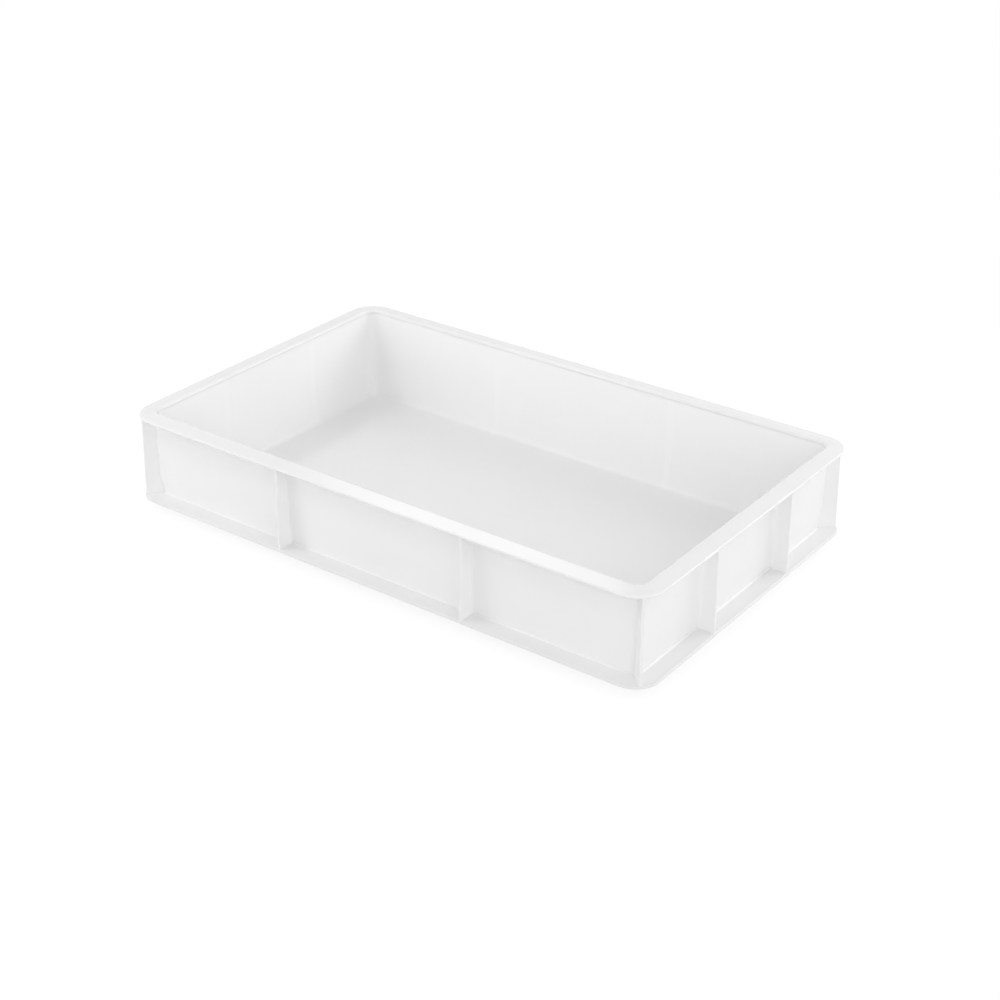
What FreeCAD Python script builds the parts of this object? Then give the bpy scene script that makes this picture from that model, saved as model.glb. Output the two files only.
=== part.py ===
import FreeCAD, Part
import math
import os

V = FreeCAD.Vector

# Overall sizes, in millimetres; the underside of the foot lies on Z = 0
LENGTH = 530.0
WIDTH = 325.0
HEIGHT = 91.0

# Stacking rim: a lip round the open top that falls gently outwards
RIM_REACH = 16.0
RIM_FALL = 1.8
RIM_THICK = 3.0
CREST_LAND = 0.6
CREST_ROUND = 4.0
LIP_STEP = 0.2
EDGE_ROUND = 0.6
EDGE_BEVEL = 1.2

# Basin: walls with a slight draft that bend in towards the base, and a coved floor
WALL = 2.0
DRAFT_DEG = 0.3
BEND_START = 36.0
BEND_RADIUS = 135.0
FLOOR = 2.5
COVE = 5.5
BASIN_CORNER = 9.0
WALL_CORNER = 7.0
CORNER_EASE = 0.5
FOOT_DEPTH = 10.0

# Base flange: the thin shelf that rests on the rim of the tray below
FLANGE_THICK = 2.2
FLANGE_CORNER = 22.0
FLANGE_ROOT = 1.5

# Ribs: thin webs between the base flange and the rim
RIB_THICK = 2.5
RIB_EDGE = 0.5
RIB_ROOT = 0.9
ROOT_SINK = 0.1
RIB_TOP_INSET = 1.3
RIB_FOOT_INSET = 0.6
LONG_RIB_X = 95.0
SHORT_RIB_Y = 58.0

# How far an edge may lie from the height where it is sought
SNAP = 0.001

# Sizes that follow from the ones above
HALF_L = LENGTH / 2
HALF_W = WIDTH / 2
WALL_TOP = HEIGHT - RIM_THICK
FLANGE_TOP = FOOT_DEPTH + FLANGE_THICK
RIM_CORNER = BASIN_CORNER + RIM_REACH
RIM_INNER_ROUND = RIM_THICK - LIP_STEP
WALL_FACE = RIM_REACH - WALL
FOOT_ROUND = WALL_CORNER - CORNER_EASE
LEAN = math.radians(DRAFT_DEG)
TAPER = math.tan(LEAN)

# Centre of the bend in the wall's profile, as an inset and a height
BEND_INSET = WALL_FACE + (WALL_TOP - BEND_START) * TAPER + BEND_RADIUS * math.cos(LEAN)
BEND_HEIGHT = BEND_START + BEND_RADIUS * math.sin(LEAN)


def wall_inset(z):
    """Distance from the outline in to the outer face of the wall at height z."""
    if z >= BEND_START:
        return WALL_FACE + (WALL_TOP - z) * TAPER
    return BEND_INSET - math.sqrt(BEND_RADIUS ** 2 - (BEND_HEIGHT - z) ** 2)


def outline(radius, z):
    """The overall outline, a rectangle with round corners, at height z."""
    k = radius * (1 - math.sqrt(0.5))
    arcs = []
    for sx, sy in ((1, -1), (1, 1), (-1, 1), (-1, -1)):
        a = V(sx * (HALF_L - radius), sy * HALF_W, z)
        b = V(sx * HALF_L, sy * (HALF_W - radius), z)
        middle = V(sx * (HALF_L - k), sy * (HALF_W - k), z)
        if sx * sy > 0:
            a, b = b, a
        arcs.append((a, middle, b))
    path = []
    for i in range(4):
        a, middle, b = arcs[i]
        path.append(Part.Arc(a, middle, b).toShape())
        path.append(Part.makeLine(b, arcs[(i + 1) % 4][0]))
    return Part.Wire(path)


def rounded_wire(corners):
    """A closed wire through corners given as (point, radius), rounded where the radius isn't zero."""
    stations = []
    for i, (point, radius) in enumerate(corners):
        back = (corners[i - 1][0] - point).normalize()
        ahead = (corners[(i + 1) % len(corners)][0] - point).normalize()
        half_angle = back.getAngle(ahead) / 2
        run = radius / math.tan(half_angle)
        inward = (back + ahead).normalize()
        middle = point + inward * (radius / math.sin(half_angle) - radius)
        stations.append((point + back * run, middle, point + ahead * run))
    edges = []
    for i, (start, middle, end) in enumerate(stations):
        if corners[i][1] > 0:
            edges.append(Part.Arc(start, middle, end).toShape())
        edges.append(Part.makeLine(end, stations[(i + 1) % len(stations)][0]))
    return Part.Wire(edges)


def swept_ring(profile, radius):
    """The ring made by taking corners of (inset, height, radius) round the outline."""
    path = outline(radius, 0.0)
    start = V(HALF_L - radius, -HALF_W, 0)
    corners = [(start + V(0, inset, z), bend) for inset, z, bend in profile]
    return path.makePipeShell([rounded_wire(corners)], True, False)


def edges_at(solid, z):
    """The edges of a solid that lie level at height z."""
    return [edge for edge in solid.Edges
            if abs(edge.BoundBox.ZMin - z) < SNAP and abs(edge.BoundBox.ZMax - z) < SNAP]


def wall_profile(half, shrink, bottom, top):
    """The line down a wall that faces +Y, half a width away, set in by shrink."""
    def at(z):
        return V(0, half - wall_inset(z) - shrink, z)
    bend = Part.Arc(at(BEND_START), at((BEND_START + bottom) / 2), at(bottom))
    return [Part.makeLine(at(top), at(BEND_START)), bend.toShape()]


def slab(half, along, shrink, bottom, top):
    """A block along X with the wall's profile down both its long sides."""
    side = wall_profile(half, shrink, bottom, top)
    other = [edge.mirror(V(0, 0, 0), V(0, 1, 0)) for edge in side]
    caps = []
    for z in (bottom, top):
        y = half - wall_inset(z) - shrink
        caps.append(Part.makeLine(V(0, -y, z), V(0, y, z)))
    section = Part.Face(Part.Wire(Part.__sortEdges__(side + other + caps)))
    section.translate(V(-along, 0, 0))
    return section.extrude(V(2 * along, 0, 0))


def drafted_block(shrink, bottom, top, corner):
    """A block with the walls' profile on all four sides and rounded upright corners."""
    across = slab(HALF_L, HALF_W, shrink, bottom, top)
    across.rotate(V(0, 0, 0), V(0, 0, 1), 90)
    block = slab(HALF_W, HALF_L, shrink, bottom, top).common(across)
    upright = [edge for edge in block.Edges if edge.BoundBox.ZLength > SNAP]
    return block.makeFillet(corner, upright)


# Stacking rim: sloping land, upright edge bevelled below, and a round lip towards the inside
rim_edge_z = HEIGHT - RIM_FALL
rim = swept_ring([
    (EDGE_BEVEL, rim_edge_z - RIM_THICK, 0.0),
    (0.0, rim_edge_z - RIM_THICK + EDGE_BEVEL, 0.0),
    (0.0, rim_edge_z, EDGE_ROUND),
    (RIM_REACH - RIM_INNER_ROUND - CREST_LAND, HEIGHT, CREST_ROUND),
    (RIM_REACH, HEIGHT, RIM_INNER_ROUND),
    (RIM_REACH, WALL_TOP, 0.0),
    (WALL_FACE, WALL_TOP, 0.0),
], RIM_CORNER)

# Outer body of the basin, rounded at the foot
body = drafted_block(0.0, 0.0, WALL_TOP, WALL_CORNER)
envelope = body.makeFillet(FOOT_ROUND, edges_at(body, 0.0))

# Hollow of the basin, with a cove where its walls meet the floor
hollow = drafted_block(WALL, FLOOR, HEIGHT, BASIN_CORNER)
hollow = hollow.makeFillet(COVE, edges_at(hollow, FLOOR))
basin = envelope.cut(hollow).cut(rim)

# Base flange: a plate round the wall, with a sloping root where the two meet
plate = Part.Face(outline(FLANGE_CORNER, FOOT_DEPTH)).extrude(V(0, 0, FLANGE_THICK))
plate = plate.makeFillet(EDGE_ROUND, edges_at(plate, FLANGE_TOP))
root_top = FLANGE_TOP + FLANGE_ROOT
root_low = FLANGE_TOP - FLANGE_THICK / 2
root_toe = wall_inset(FLANGE_TOP) - FLANGE_ROOT
root_deep = wall_inset(FLANGE_TOP) + WALL / 2
root = swept_ring([
    (root_toe, root_low, 0.0),
    (root_toe, FLANGE_TOP, 0.0),
    (wall_inset(root_top) + ROOT_SINK, root_top, 0.0),
    (root_deep, root_top, 0.0),
    (root_deep, root_low, 0.0),
], WALL_CORNER + wall_inset(FLANGE_TOP))
flange = plate.fuse(root).cut(envelope).removeSplitter()


def web(flange_edge, rim_edge, deep):
    """An upright web facing +Y, from a line inside the wall out to its rounded edge."""
    half = RIB_THICK / 2
    side = Part.makePolygon([
        V(-half, flange_edge - RIB_FOOT_INSET, FLANGE_TOP),
        V(-half, rim_edge - RIB_TOP_INSET, WALL_TOP),
        V(-half, deep, WALL_TOP),
        V(-half, deep, FLANGE_TOP),
        V(-half, flange_edge - RIB_FOOT_INSET, FLANGE_TOP),
    ])
    solid = Part.Face(side).extrude(V(RIB_THICK, 0, 0))
    outer = [edge for edge in solid.Edges
             if edge.BoundBox.ZLength > SNAP and edge.BoundBox.YMin > deep + SNAP]
    return solid.makeFillet(RIB_EDGE, outer)


def side_web(half):
    """A web on a straight wall half a width away, with sloping roots down the wall on both sides."""
    deep = half - wall_inset(FLANGE_TOP) - WALL / 2
    wall = slab(half, RIB_THICK + RIB_ROOT, ROOT_SINK, FLANGE_TOP, WALL_TOP)
    solid = wall.fuse(web(half, half, deep)).removeSplitter()
    roots = [edge for edge in solid.Edges
             if edge.BoundBox.ZLength > SNAP and edge.BoundBox.XLength < SNAP
             and abs(abs(edge.BoundBox.XMin) - RIB_THICK / 2) < SNAP
             and 0 < edge.BoundBox.YMax < half - WALL_FACE]
    return solid.makeChamfer(RIB_ROOT, roots)


def trimmed(solid):
    """The web with everything inside the wall, the rim and the flange taken away."""
    return solid.cut(envelope).cut(rim).cut(flange).removeSplitter()


def placed(solid, turn, x=0.0, y=0.0):
    """A copy turned about the upright axis by a number of degrees, then moved."""
    copy = solid.copy()
    copy.rotate(V(0, 0, 0), V(0, 0, 1), turn)
    copy.translate(V(x, y, 0))
    return copy


nodes = {"basin": basin, "stacking_rim": rim, "base_flange": flange}

# Two ribs on every side
long_web = side_web(HALF_W)
short_web = side_web(HALF_L)
for end, sign in (("left", -1), ("right", 1)):
    nodes["rib_front_" + end] = trimmed(placed(long_web, 180, x=sign * LONG_RIB_X))
    nodes["rib_back_" + end] = trimmed(placed(long_web, 0, x=sign * LONG_RIB_X))
for end, sign in (("front", -1), ("back", 1)):
    nodes["rib_left_" + end] = trimmed(placed(short_web, 90, y=sign * SHORT_RIB_Y))
    nodes["rib_right_" + end] = trimmed(placed(short_web, 270, y=sign * SHORT_RIB_Y))

# One rib on the diagonal of every corner, measured from the centre of the rim's round corner
corner_flange = (RIM_CORNER - FLANGE_CORNER) * math.sqrt(2) + FLANGE_CORNER
corner_wall = (RIM_CORNER - wall_inset(FLANGE_TOP) - WALL_CORNER) * math.sqrt(2) + WALL_CORNER
corner_web = web(corner_flange, RIM_CORNER, corner_wall - WALL / 2)
for side, sx, sy in (("front_left", -1, -1), ("front_right", 1, -1),
                     ("back_right", 1, 1), ("back_left", -1, 1)):
    turn = math.degrees(math.atan2(sy, sx)) - 90
    x = sx * (HALF_L - RIM_CORNER)
    y = sy * (HALF_W - RIM_CORNER)
    nodes["corner_rib_" + side] = trimmed(placed(corner_web, turn, x, y))

# One file for every node
os.makedirs("parts", exist_ok=True)
for name, shape in nodes.items():
    shape.Solids[0].exportStep("parts/" + name + ".step")
    print(name, "valid:", shape.isValid(), "solids:", len(shape.Solids), "cm3:", round(shape.Volume / 1000, 2))
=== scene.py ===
import math

import bmesh
import bpy
from mathutils import Matrix, Vector


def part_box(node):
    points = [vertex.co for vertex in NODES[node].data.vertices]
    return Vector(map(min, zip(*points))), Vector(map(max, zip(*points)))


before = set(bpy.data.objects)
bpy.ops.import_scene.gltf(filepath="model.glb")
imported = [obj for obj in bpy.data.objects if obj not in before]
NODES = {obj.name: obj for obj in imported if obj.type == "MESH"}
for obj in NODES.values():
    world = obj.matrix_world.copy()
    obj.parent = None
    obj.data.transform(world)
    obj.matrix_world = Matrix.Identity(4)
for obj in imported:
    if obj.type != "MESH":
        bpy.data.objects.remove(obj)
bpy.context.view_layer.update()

bl_info = {
    "name": "Stacking Proofing Tray",
    "version": (1, 0, 0),
    "blender": (4, 5, 0),
    "location": "View3D > Sidebar > Tray",
    "description": "Finishes a moulded stacking tray and sets it on a white studio floor",
    "category": "Object",
}

MM = 0.001
SIDE_RIBS = sorted(name for name in NODES if name.startswith("rib_"))
CORNER_RIBS = sorted(name for name in NODES if name.startswith("corner_rib_"))

POLYETHYLENE_IOR = 1.54
EVEN_SCATTER = (1.0, 1.0, 1.0)  # red, green and blue go equally deep, so the white stays neutral
GLOSS_SPREAD = 0.04             # how far the roughness drifts either way across the clouds
CLOUD_DETAIL = 3.0              # octaves of noise in the clouds
GRAIN_DETAIL = 2.0              # octaves of noise in the grain

WHITE = (1, 1, 1, 1)
SENSOR_WIDTH = 36               # mm
FLOOR_HALF = 6.0                # m
LAMP_TARGET = Vector((0, 0, 0.05))

# The paper fades into the background between these distances from the tray's middle, in metres.
FADE_START = 0.4
FADE_END = 0.9

# Sockets of the Mix node that share their names, by their places in it.
NUMBER_A, NUMBER_B = 2, 3
COLOUR_A, COLOUR_B = 6, 7
COLOUR_OUT = 2

# One lamp in each row: name, azimuth and elevation in degrees, distance, width and height in
# metres, level, and whether glossy surfaces mirror it. The two broad lamps in front even out the
# walls and the bays, and would glare on the polished rim if it mirrored them. The other three
# fill in from behind and above, and give the rim its highlights.
LAMPS = (
    ("softbox_left", -45, 20, 1.3, 1.0, 0.75, 0.18, False),
    ("softbox_fill", 54, 19, 2.0, 2.0, 1.3, 0.26, False),
    ("softbox_right_back", 140, 28, 1.4, 0.75, 0.7, 0.245, True),
    ("softbox_back", -134, 47, 1.6, 0.45, 0.45, 0.045, True),
    ("softbox_high_left", -48, 46, 1.6, 0.3, 0.3, 0.09, True),
)


def linear(code):
    """A hex colour in sRGB as linear red, green and blue."""
    values = [int(code[i:i + 2], 16) / 255 for i in (1, 3, 5)]
    return [v / 12.92 if v <= 0.04045 else ((v + 0.055) / 1.055) ** 2.4 for v in values]


def add(tree, kind, inputs=None, **settings):
    """A new node with its settings, and its inputs either linked from sockets or set to values."""
    node = tree.nodes.new(kind)
    for name, value in settings.items():
        setattr(node, name, value)
    for name, value in (inputs or {}).items():
        if isinstance(value, bpy.types.NodeSocket):
            tree.links.new(value, node.inputs[name])
        else:
            node.inputs[name].default_value = value
    return node


def middle_of(node):
    """The middle of a CAD node's box."""
    low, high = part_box(node)
    return (low + high) / 2


class TrayPlastic(bpy.types.PropertyGroup):
    """The look of the polyethylene."""

    milk: bpy.props.FloatVectorProperty(
        name="Milk white", description="Colour of the resin where it is dense",
        subtype="COLOR", default=linear("#FDFDFD"), min=0, max=1)
    thin_milk: bpy.props.FloatVectorProperty(
        name="Thin milk", description="Colour of the resin where it is a little clearer",
        subtype="COLOR", default=linear("#F8F8F8"), min=0, max=1)
    # Painted shade: the flange keeps only this share of the white, so it shows greyer than the
    # walls.
    flange_painted_shade: bpy.props.FloatProperty(
        name="Flange white",
        description="Share of the white that the thin flange keeps, with nothing behind it",
        subtype="FACTOR", default=0.93, min=0, max=1)
    cloud: bpy.props.FloatProperty(
        name="Cloud width", description="Width of the faint clouds in the resin",
        unit="LENGTH", default=45 * MM)
    grain: bpy.props.FloatProperty(
        name="Grain", description="Width of the grain that the steel mould leaves",
        unit="LENGTH", default=0.9 * MM)
    grain_depth: bpy.props.FloatProperty(
        name="Grain depth", description="Depth of the grain that the steel mould leaves",
        unit="LENGTH", default=0.008 * MM)
    # Painted light: over this width the wall behind each rib is painted a lighter white, standing
    # in for the rib showing through the thin wall.
    band: bpy.props.FloatProperty(
        name="Band width",
        description="Width of the denser resin that shows on the wall behind a rib",
        unit="LENGTH", default=9 * MM)
    wall_reach: bpy.props.FloatProperty(
        name="Wall reach",
        description="How far in from the basin's outside the bands behind the ribs may show",
        unit="LENGTH", default=12 * MM)
    satin: bpy.props.FloatProperty(
        name="Satin", description="Roughness where the mould was blasted to a satin",
        subtype="FACTOR", default=0.38, min=0, max=1)
    polish: bpy.props.FloatProperty(
        name="Polish", description="Roughness on the rim, where the mould was polished",
        subtype="FACTOR", default=0.18, min=0, max=1)
    wall_depth: bpy.props.FloatProperty(
        name="Wall depth",
        description="How deep light goes into the walls, the ribs and the flange",
        unit="LENGTH", default=0.6 * MM)
    edge_depth: bpy.props.FloatProperty(
        name="Edge depth", description="How deep light goes into the rim through its free edge",
        unit="LENGTH", default=2.5 * MM)
    wall_glow: bpy.props.FloatProperty(
        name="Wall glow",
        description="Share of the light that comes back from inside the walls, ribs and flange",
        subtype="FACTOR", default=0.2, min=0, max=1)
    edge_glow: bpy.props.FloatProperty(
        name="Edge glow", description="Share of the light that comes back from inside the rim",
        subtype="FACTOR", default=0.7, min=0, max=1)


class TrayStudio(bpy.types.PropertyGroup):
    """The camera, the air and the floor."""

    camera_at: bpy.props.FloatVectorProperty(
        name="Camera", description="Place of the camera",
        subtype="XYZ", unit="LENGTH", default=(0.8483, -1.1416, 0.7718))
    azimuth: bpy.props.FloatProperty(
        name="Azimuth", description="Direction of the camera round the tray",
        unit="ROTATION", default=math.radians(36.12))
    elevation: bpy.props.FloatProperty(
        name="Elevation", description="Angle at which the camera looks down",
        unit="ROTATION", default=math.radians(27.84))
    roll: bpy.props.FloatProperty(
        name="Roll", description="Tilt of the camera about its own line of sight",
        unit="ROTATION", default=math.radians(0.32))
    lens: bpy.props.FloatProperty(
        name="Lens", description="Focal length on a sensor 36 mm wide",
        unit="CAMERA", default=66.62)
    side_air: bpy.props.FloatProperty(
        name="Side air", description="Strength of the light from all round at the horizon",
        default=0.68, min=0)
    top_air: bpy.props.FloatProperty(
        name="Top air", description="Strength of the light from straight above",
        default=0.47, min=0)
    paper: bpy.props.FloatVectorProperty(
        name="Paper", description="Colour of the paper sweep that the tray stands on",
        subtype="COLOR", default=linear("#E2E2E2"), min=0, max=1)
    shade: bpy.props.FloatProperty(
        name="Shade", description="Share of the tray's shadow that shows on the white paper",
        subtype="FACTOR", default=0.22, min=0, max=1)
    paper_glow: bpy.props.FloatProperty(
        name="Paper glow",
        description="Level that brings the paper up to white where the tray doesn't shade it",
        default=0.84, min=0, max=1)


def painted_rib_light(tree, place, plastic):
    """Painted light: 1 on the basin's walls behind the middle of each rib, fading to 0 at its
    band's edge, where the wall is painted a lighter white.
    """
    far = add(tree, "ShaderNodeVectorMath", {0: place}, operation="ABSOLUTE").outputs[0]
    far = add(tree, "ShaderNodeSeparateXYZ", {"Vector": far}).outputs
    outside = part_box("basin")[1]
    bands = []
    # All four quarters of the tray are alike, so one rib on each side of a quarter gives the rest.
    for along, across, rib in ((0, 1, "rib_back_right"), (1, 0, "rib_right_back")):
        past = add(tree, "ShaderNodeMath", {0: far[along], 1: middle_of(rib)[along]},
                   operation="SUBTRACT").outputs[0]
        off = add(tree, "ShaderNodeMath", {0: past}, operation="ABSOLUTE").outputs[0]
        band = add(tree, "ShaderNodeMapRange", {
            "Value": off, "From Max": plastic.band / 2, "To Min": 1.0, "To Max": 0.0},
            interpolation_type="SMOOTHSTEP").outputs["Result"]
        wall = add(tree, "ShaderNodeMath", {
            0: far[across], 1: outside[across] - plastic.wall_reach},
            operation="GREATER_THAN").outputs[0]
        bands.append(add(tree, "ShaderNodeMath", {0: band, 1: wall},
                         operation="MULTIPLY").outputs[0])
    return add(tree, "ShaderNodeMath", {0: bands[0], 1: bands[1]}, operation="MAXIMUM").outputs[0]


def polyethylene(name, plastic, roughness, glow, depth, white=1.0, paints_rib_light=False):
    """High-density polyethylene, injection moulded against a steel mould.

    The pigment gives a milky white with faint clouds, the finish of the steel gives the gloss,
    and light that goes into the resin and comes back softens the edges."""
    material = bpy.data.materials.new(name)
    material.use_nodes = True
    tree = material.node_tree
    tree.nodes.clear()
    place = add(tree, "ShaderNodeTexCoord").outputs["Object"]
    clouds = add(tree, "ShaderNodeTexNoise", {
        "Vector": place, "Scale": 1 / plastic.cloud, "Detail": CLOUD_DETAIL}).outputs["Fac"]
    thin = clouds
    # Painted light: behind each rib the colour is pulled toward the lighter milk white.
    if paints_rib_light:
        thin = add(tree, "ShaderNodeMath", {0: clouds, 1: painted_rib_light(tree, place, plastic)},
                   operation="SUBTRACT", use_clamp=True).outputs[0]
    # Painted shade: a white below 1 greys the whole colour of the part.
    colour = add(tree, "ShaderNodeMix", {
        "Factor": thin,
        COLOUR_A: (*(v * white for v in plastic.milk), 1),
        COLOUR_B: (*(v * white for v in plastic.thin_milk), 1)}, data_type="RGBA")
    gloss = add(tree, "ShaderNodeMapRange", {
        "Value": clouds,
        "To Min": roughness - GLOSS_SPREAD,
        "To Max": roughness + GLOSS_SPREAD})
    # The real grain, about 0.1 mm wide, is too fine to show, so it is drawn coarser.
    grain = add(tree, "ShaderNodeTexNoise", {
        "Vector": place, "Scale": 1 / plastic.grain, "Detail": GRAIN_DETAIL}).outputs["Fac"]
    bump = add(tree, "ShaderNodeBump", {"Height": grain, "Distance": plastic.grain_depth})
    shader = add(tree, "ShaderNodeBsdfPrincipled", {
        "Base Color": colour.outputs[COLOUR_OUT],
        "Roughness": gloss.outputs["Result"],
        "IOR": POLYETHYLENE_IOR,
        "Normal": bump.outputs["Normal"],
        "Subsurface Weight": glow,
        "Subsurface Radius": EVEN_SCATTER,
        "Subsurface Scale": depth,
    })
    add(tree, "ShaderNodeOutputMaterial", {"Surface": shader.outputs["BSDF"]})
    return material


def dress(nodes, material):
    """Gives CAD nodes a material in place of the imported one."""
    for name in nodes:
        piece = NODES[name]
        piece.data.materials.clear()
        piece.data.materials.append(material)


class TRAY_OT_basin(bpy.types.Operator):
    """Finishes the basin."""

    bl_idname = "tray.basin"
    bl_label = "Basin"

    def execute(self, context):
        plastic = context.scene.tray_plastic
        # Blasted steel leaves a broad, soft gloss. A faint upright band of lighter white is
        # painted on the wall behind each rib: painted light for the rib showing through the thin
        # wall.
        dress(["basin"], polyethylene(
            "hdpe_satin_moulded_wall", plastic, plastic.satin,
            plastic.wall_glow, plastic.wall_depth, paints_rib_light=True))
        return {"FINISHED"}


class TRAY_OT_rim(bpy.types.Operator):
    """Finishes the stacking rim."""

    bl_idname = "tray.rim"
    bl_label = "Stacking rim"

    def execute(self, context):
        plastic = context.scene.tray_plastic
        # Polished steel leaves a brighter, narrower gloss. Light sinks deep into the free edge
        # and greys it a little.
        dress(["stacking_rim"], polyethylene(
            "hdpe_polish_moulded_rim", plastic, plastic.polish,
            plastic.edge_glow, plastic.edge_depth))
        return {"FINISHED"}


class TRAY_OT_flange(bpy.types.Operator):
    """Finishes the base flange."""

    bl_idname = "tray.flange"
    bl_label = "Base flange"

    def execute(self, context):
        plastic = context.scene.tray_plastic
        # The same satin as the walls, with its white painted a little greyer: painted shade on the
        # thin flange.
        dress(["base_flange"], polyethylene(
            "hdpe_satin_flange_painted_shade", plastic, plastic.satin,
            plastic.wall_glow, plastic.wall_depth, white=plastic.flange_painted_shade))
        return {"FINISHED"}


class TRAY_OT_ribs(bpy.types.Operator):
    """Finishes the ribs on the sides and the corners."""

    bl_idname = "tray.ribs"
    bl_label = "Ribs"

    def execute(self, context):
        plastic = context.scene.tray_plastic
        # The same satin as the walls: a soft gloss with no sharp highlight on the webs.
        dress(SIDE_RIBS + CORNER_RIBS, polyethylene(
            "hdpe_satin_moulded_rib", plastic, plastic.satin,
            plastic.wall_glow, plastic.wall_depth))
        return {"FINISHED"}


def toward(azimuth, elevation):
    """The direction from the tray to something round it at an azimuth and an elevation."""
    level = math.cos(elevation)
    return Vector((math.sin(azimuth) * level, -math.cos(azimuth) * level, math.sin(elevation)))


def background_rays(tree):
    """1 on rays that show the background: straight to the camera, mirrored or seen through."""
    path = add(tree, "ShaderNodeLightPath").outputs
    seen = add(tree, "ShaderNodeMath", {0: path["Is Camera Ray"], 1: path["Is Glossy Ray"]},
               operation="MAXIMUM").outputs[0]
    return add(tree, "ShaderNodeMath", {0: seen, 1: path["Is Transmission Ray"]},
               operation="MAXIMUM").outputs[0]


def floor_material(studio):
    """White paper sweep, matt: shows the tray's shadow near it, and fades into the background."""
    material = bpy.data.materials.new("paper_matt_sweep")
    material.use_nodes = True
    tree = material.node_tree
    tree.nodes.clear()
    place = add(tree, "ShaderNodeTexCoord").outputs["Object"]
    away = add(tree, "ShaderNodeVectorMath", {0: place}, operation="LENGTH").outputs["Value"]
    fade = add(tree, "ShaderNodeMapRange", {
        "Value": away, "From Min": FADE_START, "From Max": FADE_END},
        interpolation_type="SMOOTHSTEP").outputs["Result"]
    # The plain sheet bounces light onto the tray. What shows is lifted to white, with a share of
    # the shadow left.
    sheet = add(tree, "ShaderNodeBsdfDiffuse", {"Color": (*studio.paper, 1)})
    faint = add(tree, "ShaderNodeBsdfDiffuse", {"Color": (*[studio.shade] * 3, 1)})
    glow = add(tree, "ShaderNodeEmission", {"Color": WHITE, "Strength": studio.paper_glow})
    near = add(tree, "ShaderNodeAddShader", {0: faint.outputs[0], 1: glow.outputs[0]})
    distant = add(tree, "ShaderNodeEmission", {"Color": WHITE, "Strength": 1.0})
    shown = add(tree, "ShaderNodeMixShader", {0: fade, 1: near.outputs[0], 2: distant.outputs[0]})
    mixed = add(tree, "ShaderNodeMixShader", {
        0: background_rays(tree), 1: sheet.outputs[0], 2: shown.outputs[0]})
    add(tree, "ShaderNodeOutputMaterial", {"Surface": mixed.outputs[0]})
    return material


def lay_floor(scene, studio):
    """A flat sheet of paper under the tray."""
    mesh = bpy.data.meshes.new("studio_floor")
    shape = bmesh.new()
    bmesh.ops.create_grid(shape, x_segments=1, y_segments=1, size=FLOOR_HALF)
    shape.to_mesh(mesh)
    shape.free()
    floor = bpy.data.objects.new("studio_floor", mesh)
    scene.collection.objects.link(floor)
    mesh.materials.append(floor_material(studio))


def fill_air(scene, studio):
    """Soft light from all round, in front of a plain white background."""
    world = bpy.data.worlds.new("studio_air")
    world.use_nodes = True
    tree = world.node_tree
    tree.nodes.clear()
    way = add(tree, "ShaderNodeTexCoord").outputs["Generated"]
    height = add(tree, "ShaderNodeSeparateXYZ", {"Vector": way}).outputs["Z"]
    level = add(tree, "ShaderNodeMapRange", {
        "Value": height, "To Min": studio.side_air, "To Max": studio.top_air}).outputs["Result"]
    strength = add(tree, "ShaderNodeMix", {
        "Factor": background_rays(tree), NUMBER_A: level, NUMBER_B: 1.0})
    air = add(tree, "ShaderNodeBackground", {"Color": WHITE, "Strength": strength.outputs[0]})
    add(tree, "ShaderNodeOutputWorld", {"Surface": air.outputs[0]})
    scene.world = world


def softbox(scene, name, azimuth, elevation, distance, width, height, level, mirrored):
    """An area lamp that lights a white face turned to it up to about the given level."""
    lamp = bpy.data.lights.new(name, "AREA")
    lamp.shape = "RECTANGLE"
    lamp.size = width
    lamp.size_y = height
    # A white face straight on to a small lamp of P watts has a level of P / (pi * distance)^2.
    lamp.energy = level * math.pi ** 2 * distance ** 2
    box = bpy.data.objects.new(name, lamp)
    back = toward(math.radians(azimuth), math.radians(elevation))
    box.location = LAMP_TARGET + back * distance
    box.rotation_euler = (-back).to_track_quat("-Z", "Y").to_euler()
    box.visible_glossy = mirrored
    scene.collection.objects.link(box)


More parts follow.
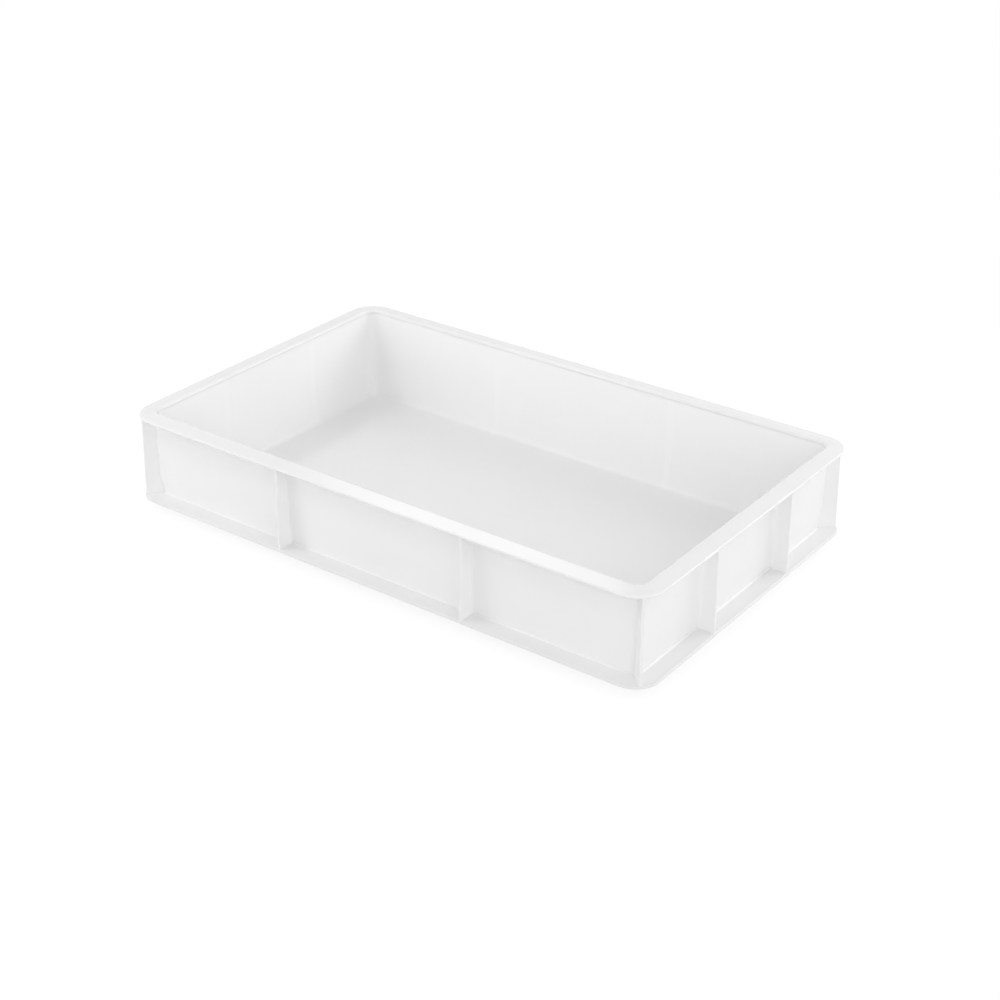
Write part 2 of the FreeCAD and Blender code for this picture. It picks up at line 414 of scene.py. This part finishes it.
def place_camera(scene, studio):
    """The camera, looking down at the tray from its front right."""
    camera = bpy.data.cameras.new("camera")
    camera.lens = studio.lens
    camera.sensor_width = SENSOR_WIDTH
    eye = bpy.data.objects.new("camera", camera)
    eye.location = studio.camera_at
    sight = (-toward(studio.azimuth, studio.elevation)).to_track_quat("-Z", "Y").to_matrix()
    eye.rotation_euler = (sight @ Matrix.Rotation(studio.roll, 3, "Z")).to_euler()
    scene.collection.objects.link(eye)
    scene.camera = eye


class TRAY_OT_stage(bpy.types.Operator):
    """Builds the floor, the light and the camera."""

    bl_idname = "tray.stage"
    bl_label = "Stage"

    def execute(self, context):
        scene = context.scene
        studio = scene.tray_studio
        lay_floor(scene, studio)
        fill_air(scene, studio)
        for lamp in LAMPS:
            softbox(scene, *lamp)
        place_camera(scene, studio)
        scene.view_settings.view_transform = "Standard"
        return {"FINISHED"}


OPERATORS = (TRAY_OT_basin, TRAY_OT_rim, TRAY_OT_flange, TRAY_OT_ribs, TRAY_OT_stage)


class TRAY_PT_sidebar(bpy.types.Panel):
    """The tray's steps and settings in the 3D view's sidebar."""

    bl_label = "Tray"
    bl_space_type = "VIEW_3D"
    bl_region_type = "UI"
    bl_category = "Tray"

    def draw(self, context):
        for operator in OPERATORS:
            self.layout.operator(operator.bl_idname)
        for group in (context.scene.tray_plastic, context.scene.tray_studio):
            for name in group.__annotations__:
                self.layout.prop(group, name)


CLASSES = (TrayPlastic, TrayStudio, *OPERATORS, TRAY_PT_sidebar)


def register():
    """Adds the classes, and the two groups of settings to the scene."""
    for item in CLASSES:
        bpy.utils.register_class(item)
    bpy.types.Scene.tray_plastic = bpy.props.PointerProperty(type=TrayPlastic)
    bpy.types.Scene.tray_studio = bpy.props.PointerProperty(type=TrayStudio)


def unregister():
    """Takes the settings and the classes away again."""
    del bpy.types.Scene.tray_studio
    del bpy.types.Scene.tray_plastic
    for item in reversed(CLASSES):
        bpy.utils.unregister_class(item)


def main():
    register()
    bpy.ops.tray.basin()
    bpy.ops.tray.rim()
    bpy.ops.tray.flange()
    bpy.ops.tray.ribs()
    bpy.ops.tray.stage()


if __name__ == "__main__":
    main()
